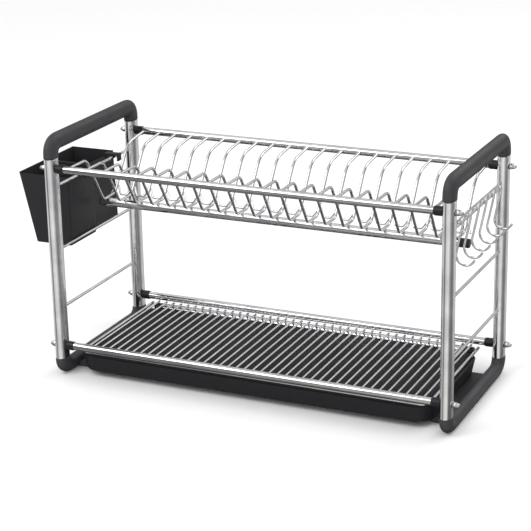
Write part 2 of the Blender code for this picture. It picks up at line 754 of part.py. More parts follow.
def build_cup_hooks():
    """J hooks, looped over the upper cross rod from its inner side and tied by one straight wire."""
    hooks = bmesh.new()
    for i in range(HOOK_COUNT):
        y = HOOK_FIRST_Y + HOOK_PITCH * i
        loop = arc(SIDE_X, UPPER_ROD_Z, y, HOOK_LOOP_RADIUS, HOOK_TAIL_TURN, -HOOK_SLANT, HOOK_STEPS)
        bend = arc(
            HOOK_BEND_X, HOOK_BEND_Z, y, HOOK_BEND_RADIUS, math.pi - HOOK_SLANT, HOOK_LIP_TURN, HOOK_STEPS
        )
        wire(hooks, loop + bend, HOOK_RADIUS, (0, 1, 0))
    tie_z = UPPER_ROD_Z + HOOK_LOOP_RADIUS + 2 * HOOK_RADIUS - WIRE_OVERLAP
    low_y = HOOK_FIRST_Y - HOOK_TIE_OVERHANG
    high_y = HOOK_FIRST_Y + HOOK_PITCH * (HOOK_COUNT - 1) + HOOK_TIE_OVERHANG
    tie = wire(bmesh.new(), [(SIDE_X, low_y, tie_z), (SIDE_X, high_y, tie_z)], HOOK_RADIUS, (1, 0, 0))
    return combine(hooks, tie, "UNION")


def main():
    clear_scene()
    plastic = make_material(*CHARCOAL_PLASTIC)
    chrome = make_material(*POLISHED_CHROME)
    wire_chrome = make_material(*WIRE_CHROME)
    zinc = make_material(*BRIGHT_ZINC)
    soft_black = make_material(*BLACK_PLASTIC)

    frame = bpy.data.objects.new("rack_frame", None)
    frame.location = (FRAME_X, 0, 0)
    bpy.context.collection.objects.link(frame)

    for side_name, side in SIDES.items():
        place(f"{side_name}_handle", build_handle(side), plastic, frame)
        place(f"{side_name}_runner", build_runner(side), plastic, frame)
        for depth_name, y in DEPTHS.items():
            place(f"{depth_name}_{side_name}_upright", build_upright(side, y), chrome, frame)
        for level, height in CROSS_ROD_HEIGHTS.items():
            place(f"{side_name}_{level}_cross_rod", build_cross_rod(side, height), wire_chrome, frame)

    for level, z in LEVELS.items():
        for depth_name, y in DEPTHS.items():
            spot = f"{level}_{depth_name}"
            rail = hollow_tube(-RAIL_HALF_LENGTH, RAIL_HALF_LENGTH, RAIL_RADIUS, RAIL_WALL, y, z)
            place(f"{spot}_rail", rail, chrome, frame)
            place(f"{spot}_tie_rod", build_tie_rod(y, z), zinc, frame)
            for side_name, side in SIDES.items():
                place(f"{spot}_{side_name}_bushing", build_bushing(side, y, z), soft_black, frame)
                place(f"{spot}_{side_name}_washer", build_washer(side, y, z), zinc, frame)
                place(f"{spot}_{side_name}_cap_nut", build_cap_nut(side, y, z), zinc, frame)

    tubes = {
        "plate_rack": (RACK_TUBE_HALF_LENGTH, TUBE_CAP_LENGTHS, RACK_TUBE_RADIUS, 0.0, RACK_TUBE_HEIGHT),
        "lower_shelf": (
            SHELF_TUBE_HALF_LENGTH,
            SHELF_TUBE_CAP_LENGTHS,
            SHELF_TUBE_RADIUS,
            REAR_Y - SHELF_TUBE_SETBACK,
            SHELF_WIRE_HEIGHT - SHELF_WIRE_RADIUS - WELD_GAP - SHELF_TUBE_RADIUS,
        ),
    }
    for name, (half_length, cap_lengths, radius, y, height) in tubes.items():
        z = RUNNER_HEIGHT + height
        left_x, right_x = (side * (half_length - cap_lengths[end]) for end, side in SIDES.items())
        tube = hollow_tube(left_x, right_x, radius, TUBE_WALL, y, z)
        place(f"{name}_tube", tube, chrome, frame)
        for side_name, side in SIDES.items():
            cap = build_tube_cap(side, half_length, cap_lengths[side_name], radius, y, z)
            place(f"{name}_tube_{side_name}_cap", cap, soft_black, frame)

    place("plate_rack", build_plate_rack(), wire_chrome, frame)
    place("lower_shelf", build_lower_shelf(), wire_chrome, frame)
    place("drip_tray", build_drip_tray(), plastic, frame, (0, 0, SHELF_HEIGHT))
    place("cutlery_box", build_cutlery_box(), plastic, frame, (-SIDE_X, 0, UPPER_ROD_Z))
    place("cup_hook_rack", build_cup_hooks(), wire_chrome, frame, (SIDE_X, 0, UPPER_ROD_Z))


main()
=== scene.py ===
"""Two-tier dish drying rack: its finished surfaces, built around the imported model.

Lengths are metres, +Z is up, +X runs along the rack to the cup hooks and +Y from its front to its rear. Every
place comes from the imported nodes' boxes, so each finished piece lies where its node lies.
"""

import logging
import math
from dataclasses import dataclass
from enum import Enum

import bmesh
import bpy
from mathutils import Matrix, Vector


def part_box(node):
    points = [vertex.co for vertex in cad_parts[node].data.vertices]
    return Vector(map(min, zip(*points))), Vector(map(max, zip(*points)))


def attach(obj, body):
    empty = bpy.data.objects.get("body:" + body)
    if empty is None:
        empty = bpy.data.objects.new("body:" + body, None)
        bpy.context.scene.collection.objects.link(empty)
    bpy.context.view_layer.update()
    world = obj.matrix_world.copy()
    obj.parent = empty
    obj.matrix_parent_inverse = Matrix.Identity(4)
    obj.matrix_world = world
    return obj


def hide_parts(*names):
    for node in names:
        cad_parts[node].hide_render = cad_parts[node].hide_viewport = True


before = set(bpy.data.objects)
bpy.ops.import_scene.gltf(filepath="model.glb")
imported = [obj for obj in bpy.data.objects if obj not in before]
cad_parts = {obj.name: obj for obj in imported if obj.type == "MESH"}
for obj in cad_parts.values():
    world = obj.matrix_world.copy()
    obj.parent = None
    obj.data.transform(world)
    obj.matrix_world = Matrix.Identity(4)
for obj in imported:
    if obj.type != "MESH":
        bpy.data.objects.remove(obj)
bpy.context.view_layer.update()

logging.basicConfig(level=logging.INFO, format="%(name)s: %(message)s")
log = logging.getLogger("dish_rack")

X_AXIS = Vector((1, 0, 0))
Y_AXIS = Vector((0, 1, 0))
Z_AXIS = Vector((0, 0, 1))

NOISE_MIDDLE = (0.3, 0.7)
TOUCHING = 1e-5
CRISP_EDGE = 0.0003
MOULDED_EDGE = 0.0006


class Side(Enum):
    """The two ends of the rack, with the sign of their X."""

    LEFT = -1
    RIGHT = 1


class Depth(Enum):
    """The two long sides of the rack, with the sign of their Y."""

    FRONT = -1
    REAR = 1


class Level(Enum):
    """The two heights at which rails join the ends."""

    UPPER = "upper"
    LOWER = "lower"


class Slot(Enum):
    """The record's material slots."""

    FRAME_PLASTIC = "frame_plastic"
    TRAY_PLASTIC = "tray_plastic"
    BOX_PLASTIC = "box_plastic"
    BUSHING_PLASTIC = "bushing_plastic"
    UPRIGHT_CHROME = "upright_chrome"
    TUBE_CHROME = "tube_chrome"
    WIRE_CHROME = "wire_chrome"
    BRIGHT_ZINC = "bright_zinc"


# ---------------------------------------------------------------------------------------------- finishes


class NodeSheet:
    """A node tree with short calls for the nodes that the finishes and the surround share."""

    def __init__(self, tree: bpy.types.NodeTree) -> None:
        """Starts on a tree.

        Args:
            tree: the tree to add nodes to.
        """
        self.tree = tree

    def add(self, kind: str, inputs: dict[str, object]) -> bpy.types.Node:
        """Adds a node.

        Args:
            kind: the node's type.
            inputs: a value or a socket for each input that is set.

        Returns:
            The new node.
        """
        node = self.tree.nodes.new(kind)
        self.fill(node, inputs)
        return node

    def fill(self, node: bpy.types.Node, inputs: dict[str | int, object]) -> None:
        """Sets or links some of a node's inputs.

        Args:
            node: the node.
            inputs: a value or a socket for each input that is set.
        """
        for key, value in inputs.items():
            if isinstance(value, bpy.types.NodeSocket):
                self.tree.links.new(value, node.inputs[key])
            else:
                node.inputs[key].default_value = value

    def rescaled(
        self,
        value: bpy.types.NodeSocket,
        source: tuple[float, float],
        target: tuple[float, float] = (0.0, 1.0),
        interpolation: str = "LINEAR",
    ) -> bpy.types.NodeSocket:
        """Maps a value from one range to another.

        Args:
            value: the value.
            source: the range that it comes from.
            target: the range that it goes to.
            interpolation: how it goes between the ends.

        Returns:
            The mapped value.
        """
        ends = {"From Min": source[0], "From Max": source[1], "To Min": target[0], "To Max": target[1]}
        node = self.add("ShaderNodeMapRange", {"Value": value, **ends})
        node.interpolation_type = interpolation
        return node.outputs["Result"]

    def ramp(
        self, value: bpy.types.NodeSocket, stops: list[tuple[float, tuple[float, float, float]]]
    ) -> bpy.types.NodeSocket:
        """Colours a value.

        Args:
            value: the value, 0 to 1.
            stops: each stop's place and its linear RGB colour.

        Returns:
            The colour.
        """
        node = self.add("ShaderNodeValToRGB", {"Fac": value})
        elements = node.color_ramp.elements
        while len(elements) < len(stops):
            elements.new(0.5)
        for element, (position, colour) in zip(elements, stops):
            element.position = position
            element.color = (*colour, 1)
        return node.outputs["Color"]

    def mixed(self, factor: object, first: object, second: object, kind: str = "MIX") -> bpy.types.NodeSocket:
        """Mixes two colours.

        Args:
            factor: the share of the second colour.
            first: an RGBA colour or a socket.
            second: an RGBA colour or a socket.
            kind: the blend type.

        Returns:
            The mixed colour.
        """
        node = self.tree.nodes.new("ShaderNodeMix")
        node.data_type = "RGBA"
        node.blend_type = kind
        self.fill(node, {"Factor": factor, 6: first, 7: second})
        return node.outputs[2]

    def calculated(
        self, operation: str, first: bpy.types.NodeSocket, second: bpy.types.NodeSocket
    ) -> bpy.types.NodeSocket:
        """Works out a value from two others.

        Args:
            operation: the sum to do.
            first: its first term.
            second: its second term.

        Returns:
            The result.
        """
        node = self.tree.nodes.new("ShaderNodeMath")
        node.operation = operation
        self.fill(node, {0: first, 1: second})
        return node.outputs["Value"]


class FinishSheet(NodeSheet):
    """The node tree of one new material."""

    def __init__(self, name: str) -> None:
        """Starts a new material.

        Args:
            name: the material's name.
        """
        self.material = bpy.data.materials.new(name)
        self.material.use_nodes = True
        super().__init__(self.material.node_tree)
        self.shader = self.tree.nodes["Principled BSDF"]
        self.place = self.add("ShaderNodeTexCoord", {}).outputs["Object"]

    def noise(self, where: bpy.types.NodeSocket, scale: float, detail: float) -> bpy.types.NodeSocket:
        """Adds a noise pattern.

        Args:
            where: the coordinates to read.
            scale: patches per metre.
            detail: octaves of finer noise.

        Returns:
            The noise value, 0 to 1.
        """
        pattern = self.add("ShaderNodeTexNoise", {"Scale": scale, "Detail": detail, "Vector": where})
        return pattern.outputs["Fac"]

    def dress(
        self,
        pattern: bpy.types.NodeSocket,
        dark: tuple[float, float, float],
        light: tuple[float, float, float],
        wear: bpy.types.NodeSocket,
        roughness: tuple[float, float],
    ) -> None:
        """Gives the surface its colour and its roughness.

        Args:
            pattern: the noise that goes from the dark to the light colour.
            dark: a linear RGB colour.
            light: a linear RGB colour.
            wear: the noise that goes from the least to the most roughness.
            roughness: the least and the most.
        """
        colour = self.ramp(pattern, [(NOISE_MIDDLE[0], dark), (NOISE_MIDDLE[1], light)])
        rough = self.rescaled(wear, NOISE_MIDDLE, roughness)
        self.fill(self.shader, {"Base Color": colour, "Roughness": rough})

    def relief(self, height: bpy.types.NodeSocket, depth: float, strength: float) -> None:
        """Bumps the surface by a height pattern.

        Args:
            height: the pattern.
            depth: its depth in metres.
            strength: the share of the bump that shows.
        """
        bump = self.add("ShaderNodeBump", {"Distance": depth, "Strength": strength, "Height": height})
        self.fill(self.shader, {"Normal": bump.outputs["Normal"]})


@dataclass(frozen=True)
class MouldedPlastic:
    """Injection-moulded plastic with a fine spark-eroded grain and faint sheen changes."""

    name: str
    dark: tuple[float, float, float]
    light: tuple[float, float, float]
    roughness: tuple[float, float]
    grain_per_metre: float = 2200.0
    grain_depth: float = 0.00012
    grain_strength: float = 0.35
    sheen: float = 0.42

    def material(self) -> bpy.types.Material:
        """Makes the material.

        Returns:
            A grained plastic material.
        """
        sheet = FinishSheet(self.name)
        grain = sheet.noise(sheet.place, self.grain_per_metre, 3.0)
        cloud = sheet.noise(sheet.place, 22.0, 4.0)
        sheet.dress(grain, self.dark, self.light, cloud, self.roughness)
        sheet.fill(sheet.shader, {"Specular IOR Level": self.sheen})
        sheet.relief(grain, self.grain_depth, self.grain_strength)
        return sheet.material


@dataclass(frozen=True)
class Chrome:
    """Bright chrome plate. Its stretch turns the fine marks into lines drawn along one axis."""

    name: str
    dark: tuple[float, float, float] = (0.70, 0.71, 0.74)
    light: tuple[float, float, float] = (0.93, 0.93, 0.93)
    roughness: tuple[float, float] = (0.05, 0.13)
    stretch: tuple[float, float, float] = (1.0, 1.0, 1.0)
    marks_per_metre: float = 420.0
    mark_depth: float = 0.00003
    mark_strength: float = 0.12

    def material(self) -> bpy.types.Material:
        """Makes the material.

        Returns:
            A chrome material.
        """
        sheet = FinishSheet(self.name)
        stretched = sheet.add("ShaderNodeMapping", {"Scale": self.stretch, "Vector": sheet.place})
        marks = sheet.noise(stretched.outputs["Vector"], self.marks_per_metre, 4.0)
        cloud = sheet.noise(sheet.place, 35.0, 3.0)
        sheet.dress(cloud, self.dark, self.light, marks, self.roughness)
        sheet.fill(sheet.shader, {"Metallic": 1.0})
        sheet.relief(marks, self.mark_depth, self.mark_strength)
        return sheet.material


class Finishes:
    """The rack's finishes, one material for each slot and drawing direction."""

    def __init__(self) -> None:
        """Makes every material once."""
        self.handle_plastic = MouldedPlastic(
            "charcoal_grained_plastic", (0.030, 0.030, 0.033), (0.048, 0.048, 0.053), (0.42, 0.58)
        ).material()
        self.tray_plastic = MouldedPlastic(
            "charcoal_tray_plastic",
            (0.014, 0.014, 0.016),
            (0.022, 0.022, 0.025),
            (0.36, 0.48),
            1500.0,
            sheen=0.12,
        ).material()
        self.box_plastic = MouldedPlastic(
            "charcoal_box_plastic",
            (0.017, 0.017, 0.019),
            (0.026, 0.026, 0.029),
            (0.34, 0.48),
            1600.0,
            sheen=0.22,
        ).material()
        self.black_plastic = MouldedPlastic(
            "black_bushing_plastic", (0.008, 0.008, 0.009), (0.014, 0.014, 0.015), (0.32, 0.45), 3000.0
        ).material()
        self.upright_chrome = Chrome(
            "drawn_upright_chrome", roughness=(0.09, 0.20), stretch=(1.0, 1.0, 0.02), marks_per_metre=900.0
        ).material()
        self.tube_chrome = Chrome("polished_tube_chrome", stretch=(0.03, 1.0, 1.0)).material()
        self.wire_chrome = Chrome(
            "plated_wire_chrome", (0.74, 0.75, 0.77), (0.92, 0.92, 0.92), (0.08, 0.18), marks_per_metre=700.0
        ).material()
        self.zinc = Chrome(
            "bright_zinc_plate", (0.60, 0.60, 0.60), (0.80, 0.79, 0.77), (0.18, 0.34), marks_per_metre=1500.0
        ).material()


# ---------------------------------------------------------------------------------------------- workshop


def placed(centre: Vector, across: Vector, up: Vector) -> Matrix:
    """Places a unit circle as an ellipse.

    Args:
        centre: the ellipse's centre.
        across: its first half axis.
        up: its second half axis.

    Returns:
        The matrix that takes the unit circle there.
    """
    return from_axes(across, up, across.cross(up).normalized(), centre)


def from_axes(x_axis: Vector, y_axis: Vector, z_axis: Vector, origin: Vector) -> Matrix:
    """Makes the matrix that has the given axes and origin."""
    rows = [(*axis, 0) for axis in (x_axis, y_axis, z_axis)]
    return Matrix([*rows, (*origin, 1)]).transposed()


def verts_of(geometry: list[object]) -> list[bmesh.types.BMVert]:
    """Picks the points out of an operator's result."""
    return [item for item in geometry if isinstance(item, bmesh.types.BMVert)]


class Sweep:
    """A skin grown ring by ring. Each ring is the last one, extruded and moved."""

    def __init__(self, body: bmesh.types.BMesh, first: Matrix, segments: int) -> None:
        """Starts with one ring.

        Args:
            body: the mesh that the skin belongs to.
            first: where the unit circle of the first ring goes.
            segments: the points on each ring.
        """
        self.body = body
        self.placed = first
        made = bmesh.ops.create_circle(body, segments=segments, radius=1.0, matrix=first)
        self.edges = list({edge for vert in made["verts"] for edge in vert.link_edges})
        self.first_edges = list(self.edges)

    def move(self, matrix: Matrix) -> "Sweep":
        """Extrudes the last ring and moves the new one.

        Args:
            matrix: the move, in the row frame.

        Returns:
            The sweep itself.
        """
        grown = bmesh.ops.extrude_edge_only(self.body, edges=self.edges)["geom"]
        verts = verts_of(grown)
        inside = set(verts)
        self.edges = [
            item for item in grown if isinstance(item, bmesh.types.BMEdge) and inside.issuperset(item.verts)
        ]
        bmesh.ops.transform(self.body, matrix=matrix, verts=verts)
        self.placed = matrix @ self.placed
        return self

    def ring(self, matrix: Matrix) -> "Sweep":
        """Grows the skin to a ring at a given place.

        Args:
            matrix: where the unit circle of that ring goes.

        Returns:
            The sweep itself.
        """
        return self.move(matrix @ self.placed.inverted())

    def cap_ends(self) -> None:
        """Fills the first and the last ring."""
        bmesh.ops.edgeloop_fill(self.body, edges=self.first_edges)
        bmesh.ops.edgeloop_fill(self.body, edges=self.edges)

    def join_ends(self) -> None:
        """Joins the last ring to the first, for a skin that closes on itself."""
        bmesh.ops.bridge_loops(self.body, edges=self.first_edges + self.edges)


class WireBender:
    """Feeds a round wire straight and bends it about one axis, with both ends slightly rounded."""

    def __init__(
        self,
        body: bmesh.types.BMesh,
        start: Vector,
        heading: Vector,
        hinge: Vector,
        radius: float,
        segments: int,
    ) -> None:
        """Starts a wire.

        Args:
            body: the mesh that the wire belongs to.
            start: its first point.
            heading: the way it leaves.
            hinge: the axis that it bends about.
            radius: the wire's radius.
            segments: the points around it.
        """
        self.at = Vector(start)
        self.heading = Vector(heading).normalized()
        self.hinge = Vector(hinge).normalized()
        self.radius = radius
        self.softening = radius * 0.35
        across = self.hinge * (radius - self.softening)
        up = self.heading.cross(self.hinge) * (radius - self.softening)
        self.sweep = Sweep(body, placed(self.at, across, up), segments)
        self._widen(radius / (radius - self.softening))

    def _widen(self, factor: float) -> None:
        """Steps on by the softening while the ring grows or shrinks by a factor."""
        step = Matrix.Translation(self.heading * self.softening)
        scale = Matrix.Translation(self.at) @ Matrix.Scale(factor, 4) @ Matrix.Translation(-self.at)
        self.sweep.move(step @ scale)
        self.at = self.at + self.heading * self.softening

    def feed(self, length: float) -> None:
        """Goes straight on by a length."""
        if length > 1e-6:
            self.sweep.move(Matrix.Translation(self.heading * length))
            self.at = self.at + self.heading * length

    def bend(self, angle: float, radius: float, steps: int) -> None:
        """Bends by an angle about the hinge.

        Args:
            angle: the turn, positive by the right-hand rule.
            radius: the bend's radius at the wire's middle.
            steps: the pieces that the arc is made of.
        """
        inwards = self.hinge.cross(self.heading) * math.copysign(radius, angle)
        centre = self.at + inwards
        turn = Matrix.Rotation(angle / steps, 4, self.hinge)
        move = Matrix.Translation(centre) @ turn @ Matrix.Translation(-centre)
        for _ in range(steps):
            self.sweep.move(move)
            self.at = move @ self.at
            self.heading = turn.to_3x3() @ self.heading

    def finish(self) -> None:
        """Rounds the end and closes the wire."""
        self._widen((self.radius - self.softening) / self.radius)
        self.sweep.cap_ends()

    @classmethod
    def follow(
        cls,
        body: bmesh.types.BMesh,
        corners: list[Vector],
        radii: list[float],
        hinge: Vector,
        radius: float,
        segments: int = 12,
        steps: int = 8,
    ) -> None:
        """Bends a whole wire round a row of corners in one plane.

        Args:
            body: the mesh that the wire belongs to.
            corners: its two ends and the corners between them.
            radii: the bend radius at each inner corner.
            hinge: the normal of the plane.
            radius: the wire's radius.
            segments: the points around it.
            steps: the pieces of each arc.
        """
        legs = [(b - a) for a, b in zip(corners, corners[1:])]
        bender = cls(body, corners[0], legs[0], hinge, radius, segments)
        used = bender.softening
        for before, after, bend_radius in zip(legs, legs[1:], radii):
            turn = math.atan2(hinge.normalized().dot(before.cross(after)), before.dot(after))
            tangent = bend_radius * abs(math.tan(turn / 2))
            bender.feed(before.length - used - tangent)
            bender.bend(turn, bend_radius, steps)
            used = tangent
        bender.feed(legs[-1].length - used - bender.softening)
        bender.finish()


def turned(profile: list[tuple[float, float]], axis_y: float, axis_z: float, steps: int) -> bmesh.types.BMesh:
    """Turns a closed profile about a line along X.

    Args:
        profile: the (x, radius) corners of the section.
        axis_y: the line's Y.
        axis_z: the line's Z.
        steps: the facets around it.

    Returns:
        The turned solid.
    """
    body = bmesh.new()
    points = [body.verts.new((x, axis_y, axis_z + radius)) for x, radius in profile]
    edges = [body.edges.new(pair) for pair in zip(points, points[1:] + points[:1])]
    bmesh.ops.spin(
        body,
        geom=points + edges,
        cent=(0, axis_y, axis_z),
        axis=X_AXIS,
        angle=math.tau,
        steps=steps,
        use_merge=True,
    )
    return body


def ring_profile(
    low_x: float, high_x: float, bore: float, radius: float, rim: float
) -> list[tuple[float, float]]:
    """The section of a round ring or tube along X, with both outer rims cut back.

    Args:
        low_x: one end.
        high_x: the other end.
        bore: the inner radius.
        radius: the outer radius.
        rim: the width of each rim's cut.

    Returns:
        The (x, radius) corners of the section.
    """
    return [
        (low_x, bore),
        (low_x, radius - rim),
        (low_x + rim, radius),
        (high_x - rim, radius),
        (high_x, radius - rim),
        (high_x, bore),
    ]


def sharp_edges(
    body: bmesh.types.BMesh, angle: float, above: float = -math.inf, below: float = math.inf
) -> list[bmesh.types.BMEdge]:
    """Finds the edges that are sharper than an angle.

    Args:
        body: the mesh.
        angle: the angle between an edge's two faces, in radians.
        above: the height that both ends lie above.
        below: the height that both ends lie below.

    Returns:
        The edges.
    """
    return [
        edge
        for edge in body.edges
        if all(above < vert.co.z < below for vert in edge.verts) and edge.calc_face_angle(0.0) > angle
    ]


def round_edges(body: bmesh.types.BMesh, edges: list[bmesh.types.BMEdge], width: float, segments: int) -> None:
    """Rounds some edges.

    Args:
        body: the mesh.
        edges: the edges to round.
        width: the width of the rounding.
        segments: the facets across it.
    """
    bmesh.ops.bevel(
        body,
        geom=edges,
        offset=width,
        offset_type="OFFSET",
        segments=segments,
        profile=0.5,
        affect="EDGES",
        clamp_overlap=True,
        material=-1,
    )


@dataclass
class Piece:
    """One finished piece: its mesh, its body, its finish and the nodes that it stands for."""

    name: str
    body: str
    slot: Slot
    material: bpy.types.Material
    nodes: tuple[str, ...]
    smooth_degrees: float = 40.0

    def make(self, solid: bmesh.types.BMesh) -> bpy.types.Object:
        """Turns the solid into an object of the rack.

        Args:
            solid: the finished shape, in the row frame.

        Returns:
            The new object.
        """
        bmesh.ops.remove_doubles(solid, verts=solid.verts, dist=1e-7)
        bmesh.ops.recalc_face_normals(solid, faces=solid.faces)
        mesh = bpy.data.meshes.new(self.name)
        solid.to_mesh(mesh)
        solid.free()
        mesh.materials.append(self.material)
        mesh.shade_smooth()
        mesh.set_sharp_from_angle(angle=math.radians(self.smooth_degrees))
        piece = bpy.data.objects.new(self.name, mesh)
        bpy.context.scene.collection.objects.link(piece)
        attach(piece, self.body)
        if self.nodes:
            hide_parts(*self.nodes)
        log.info("%s rides on %s, %d faces", self.name, self.body, len(mesh.polygons))
        return piece


def extent(node: str) -> tuple[Vector, Vector, Vector]:
    """The lowest corner, the highest corner and the centre of a node's box."""
    low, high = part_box(node)
    return low, high, (low + high) / 2


def dress(node: str, material: bpy.types.Material) -> None:
    """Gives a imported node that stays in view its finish.

    Args:
        node: the node's name.
        material: the finish.
    """
    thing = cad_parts[node]
    thing.data.materials.clear()
    thing.data.materials.append(material)
    log.info("%s keeps its packed shape", node)


# ---------------------------------------------------------------------------------------------- end frames


@dataclass
class EndFrame:
    """One end of the rack: two oval uprights, a handle above, a runner below and three cross rods."""

    side: Side
    finishes: Finishes
    segments: int = 48
    wall: float = 0.0011
    collar_lip: float = 0.0005
    collar_straight: float = 0.003
    handle_thickness: float = 0.0228
    runner_thickness: float = 0.018
    sole: float = 0.0008
    plug_length: float = 0.008
    corner_steps: int = 14
    corner_fullness: float = 2.4
    seam_gap: float = 0.0003
    ledge_height: float = 0.0077
    ledge_width: float = 0.024
    ledge_setback: float = 0.030
    ledge_edge: float = 0.0022
    upright_half_x: float = 0.008
    upright_half_y: float = 0.0125

    @property
    def name(self) -> str:
        """The end's name, as the nodes spell it."""
        return self.side.name.lower()

    def build(self) -> None:
        """Builds every piece of this end."""
        for depth in Depth:
            self.build_upright(depth)
        self.build_handle()
        self.build_runner()
        for level in ("upper", "middle", "lower"):
            self.build_cross_rod(level)

    def upright_node(self, depth: Depth) -> str:
        """The node name of one upright of this end."""
        return f"{depth.name.lower()}_{self.name}_upright"

    def build_upright(self, depth: Depth) -> None:
        """Builds one oval tube with its bore.

        Args:
            depth: the front or the rear upright.
        """
        node = self.upright_node(depth)
        low, high, centre = extent(node)
        half_x = (high.x - low.x) / 2
        half_y = (high.y - low.y) / 2

        def section(z: float, inset: float) -> Matrix:
            """The tube's section at a height, made smaller by an inset."""
            return placed(Vector((centre.x, centre.y, z)), X_AXIS * (half_x - inset), Y_AXIS * (half_y - inset))

        body = bmesh.new()
        skin = Sweep(body, section(low.z, self.wall), self.segments)
        for z, inset in (
            (low.z, CRISP_EDGE),
            (low.z + CRISP_EDGE, 0.0),
            (high.z - CRISP_EDGE, 0.0),
            (high.z, CRISP_EDGE),
            (high.z, self.wall),
        ):
            skin.ring(section(z, inset))
        skin.join_ends()
        Piece(f"{node}_tube", "frame", Slot.UPRIGHT_CHROME, self.finishes.upright_chrome, (node,)).make(body)

    def bent_bar(self, bar_z: float, collar_z: float, thickness: float, straight: float) -> bmesh.types.BMesh:
        """A moulded bar that joins both uprights, with a collar and a plug at each end.

        Args:
            bar_z: the height of the bar's middle.
            collar_z: the height of the collars' rims.
            thickness: the bar's height.
            straight: the straight length of each collar.

        Returns:
            The bar's solid.
        """
        low, high, front = extent(self.upright_node(Depth.FRONT))
        rear = extent(self.upright_node(Depth.REAR))[2]
        half_x = (high.x - low.x) / 2 + self.collar_lip
        half_y = (high.y - low.y) / 2 + self.collar_lip
        plug_x = half_x - self.collar_lip - self.wall - self.seam_gap
        plug_y = half_y - self.collar_lip - self.wall - self.seam_gap
        up = 1 if bar_z > collar_z else -1
        pivot_z = collar_z + up * straight
        inner = abs(bar_z - up * thickness / 2 - pivot_z)
        rim = MOULDED_EDGE
        rings: list[Matrix] = []
        for end, collar_y in ((-1, front.y), (1, rear.y)):
            pivot = Vector((front.x, collar_y - end * (half_y + inner), pivot_z))
            line = [
                placed(Vector((front.x, collar_y, z)), X_AXIS * a, Y_AXIS * (-end * b))
                for a, b, z in (
                    (plug_x - rim, plug_y - rim, collar_z - up * self.plug_length),
                    (plug_x, plug_y, collar_z - up * (self.plug_length - rim)),
                    (plug_x, plug_y, collar_z),
                    (half_x - rim, half_y - rim, collar_z),
                    (half_x, half_y, collar_z + up * rim),
                )
            ]
            for step in range(1 if straight < rim else 0, self.corner_steps + 1):
                bend = math.pi / 2 * step / self.corner_steps
                share = (math.cos(bend) / (inner + 2 * half_y)) ** self.corner_fullness
                share += (math.sin(bend) / (inner + thickness)) ** self.corner_fullness
                outer = share ** (-1 / self.corner_fullness)
                radial = Vector((0, end * math.cos(bend), up * math.sin(bend)))
                centre = pivot + radial * (inner + outer) / 2
                line.append(placed(centre, X_AXIS * half_x, radial * ((inner - outer) / 2)))
            rings += line if end < 0 else list(reversed(line))
        body = bmesh.new()
        skin = Sweep(body, rings[0], self.segments)
        for matrix in rings[1:]:
            skin.ring(matrix)
        skin.cap_ends()
        return body

    def build_handle(self) -> None:
        """Builds the handle over both uprights."""
        node = f"{self.name}_handle"
        collar_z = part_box(self.upright_node(Depth.FRONT))[1].z + self.seam_gap
        bar_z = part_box(node)[1].z - self.handle_thickness / 2
        body = self.bent_bar(bar_z, collar_z, self.handle_thickness, self.collar_straight)
        material = self.finishes.handle_plastic
        Piece(f"{node}_moulding", "frame", Slot.FRAME_PLASTIC, material, (node,), 60.0).make(body)

    def build_runner(self) -> None:
        """Builds the runner below both uprights, with its flat sole and the ledge for the tray."""
        node = f"{self.name}_runner"
        low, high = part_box(node)
        collar_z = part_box(self.upright_node(Depth.FRONT))[0].z - self.seam_gap
        thickness = self.runner_thickness + self.sole
        body = self.bent_bar(self.runner_thickness - thickness / 2, collar_z, thickness, 0.0)
        for vert in body.verts:
            vert.co.z = max(vert.co.z, low.z)
        front = extent(self.upright_node(Depth.FRONT))[2]
        inner_x = front.x - self.side.value * (self.upright_half_x + self.ledge_width)
        self.add_ledge(body, front.x, inner_x, high.y)
        material = self.finishes.handle_plastic
        Piece(f"{node}_moulding", "frame", Slot.FRAME_PLASTIC, material, (node,), 50.0).make(body)

    def add_ledge(self, body: bmesh.types.BMesh, outer_x: float, inner_x: float, end_y: float) -> None:
        """Adds the flat ledge that the drip tray stands on.

        Args:
            body: the runner's solid, which the ledge joins.
            outer_x: where the ledge runs into the bar.
            inner_x: the ledge's free edge.
            end_y: the outer face of the rear corner.
        """
        half_y = end_y - self.ledge_setback - self.upright_half_y
        ledge = bmesh.ops.create_cube(body, size=1.0)["verts"]
        size = Vector((abs(outer_x - inner_x), 2 * half_y, self.ledge_height))
        centre = Vector(((outer_x + inner_x) / 2, 0, self.ledge_height / 2))
        matrix = Matrix.Translation(centre) @ Matrix.Diagonal(size).to_4x4()
        bmesh.ops.transform(body, matrix=matrix, verts=ledge)
        free = [vert for vert in ledge if abs(vert.co.x - inner_x) < 1e-6]
        edges = [edge for edge in {e for v in free for e in v.link_edges} if all(v in free for v in edge.verts)]
        round_edges(body, edges, self.ledge_edge, 4)

    def build_cross_rod(self, level: str) -> None:
        """Builds one round rod between the uprights.

        Args:
            level: upper, middle or lower.
        """
        node = f"{self.name}_{level}_cross_rod"
        low, high, centre = extent(node)
        radius = (high.z - low.z) / 2
        body = bmesh.new()
        ends = [Vector((centre.x, low.y, centre.z)), Vector((centre.x, high.y, centre.z))]
        WireBender.follow(body, ends, [], X_AXIS, radius, 20)
        Piece(f"{node}_bar", "frame", Slot.WIRE_CHROME, self.finishes.wire_chrome, (node,)).make(body)


# ---------------------------------------------------------------------------------------------- rails


@dataclass
class Tube:
    """A straight chrome tube along X with softened rims."""

    node: str
    material: bpy.types.Material
    wall: float = 0.001

    def build(self) -> None:
        """Builds the tube with its bore."""
        low, high, centre = extent(self.node)
        radius = (high.z - low.z) / 2
        bore = radius - self.wall
        body = turned(ring_profile(low.x, high.x, bore, radius, CRISP_EDGE), centre.y, centre.z, 40)
        Piece(f"{self.node}_polished", "frame", Slot.TUBE_CHROME, self.material, (self.node,)).make(body)


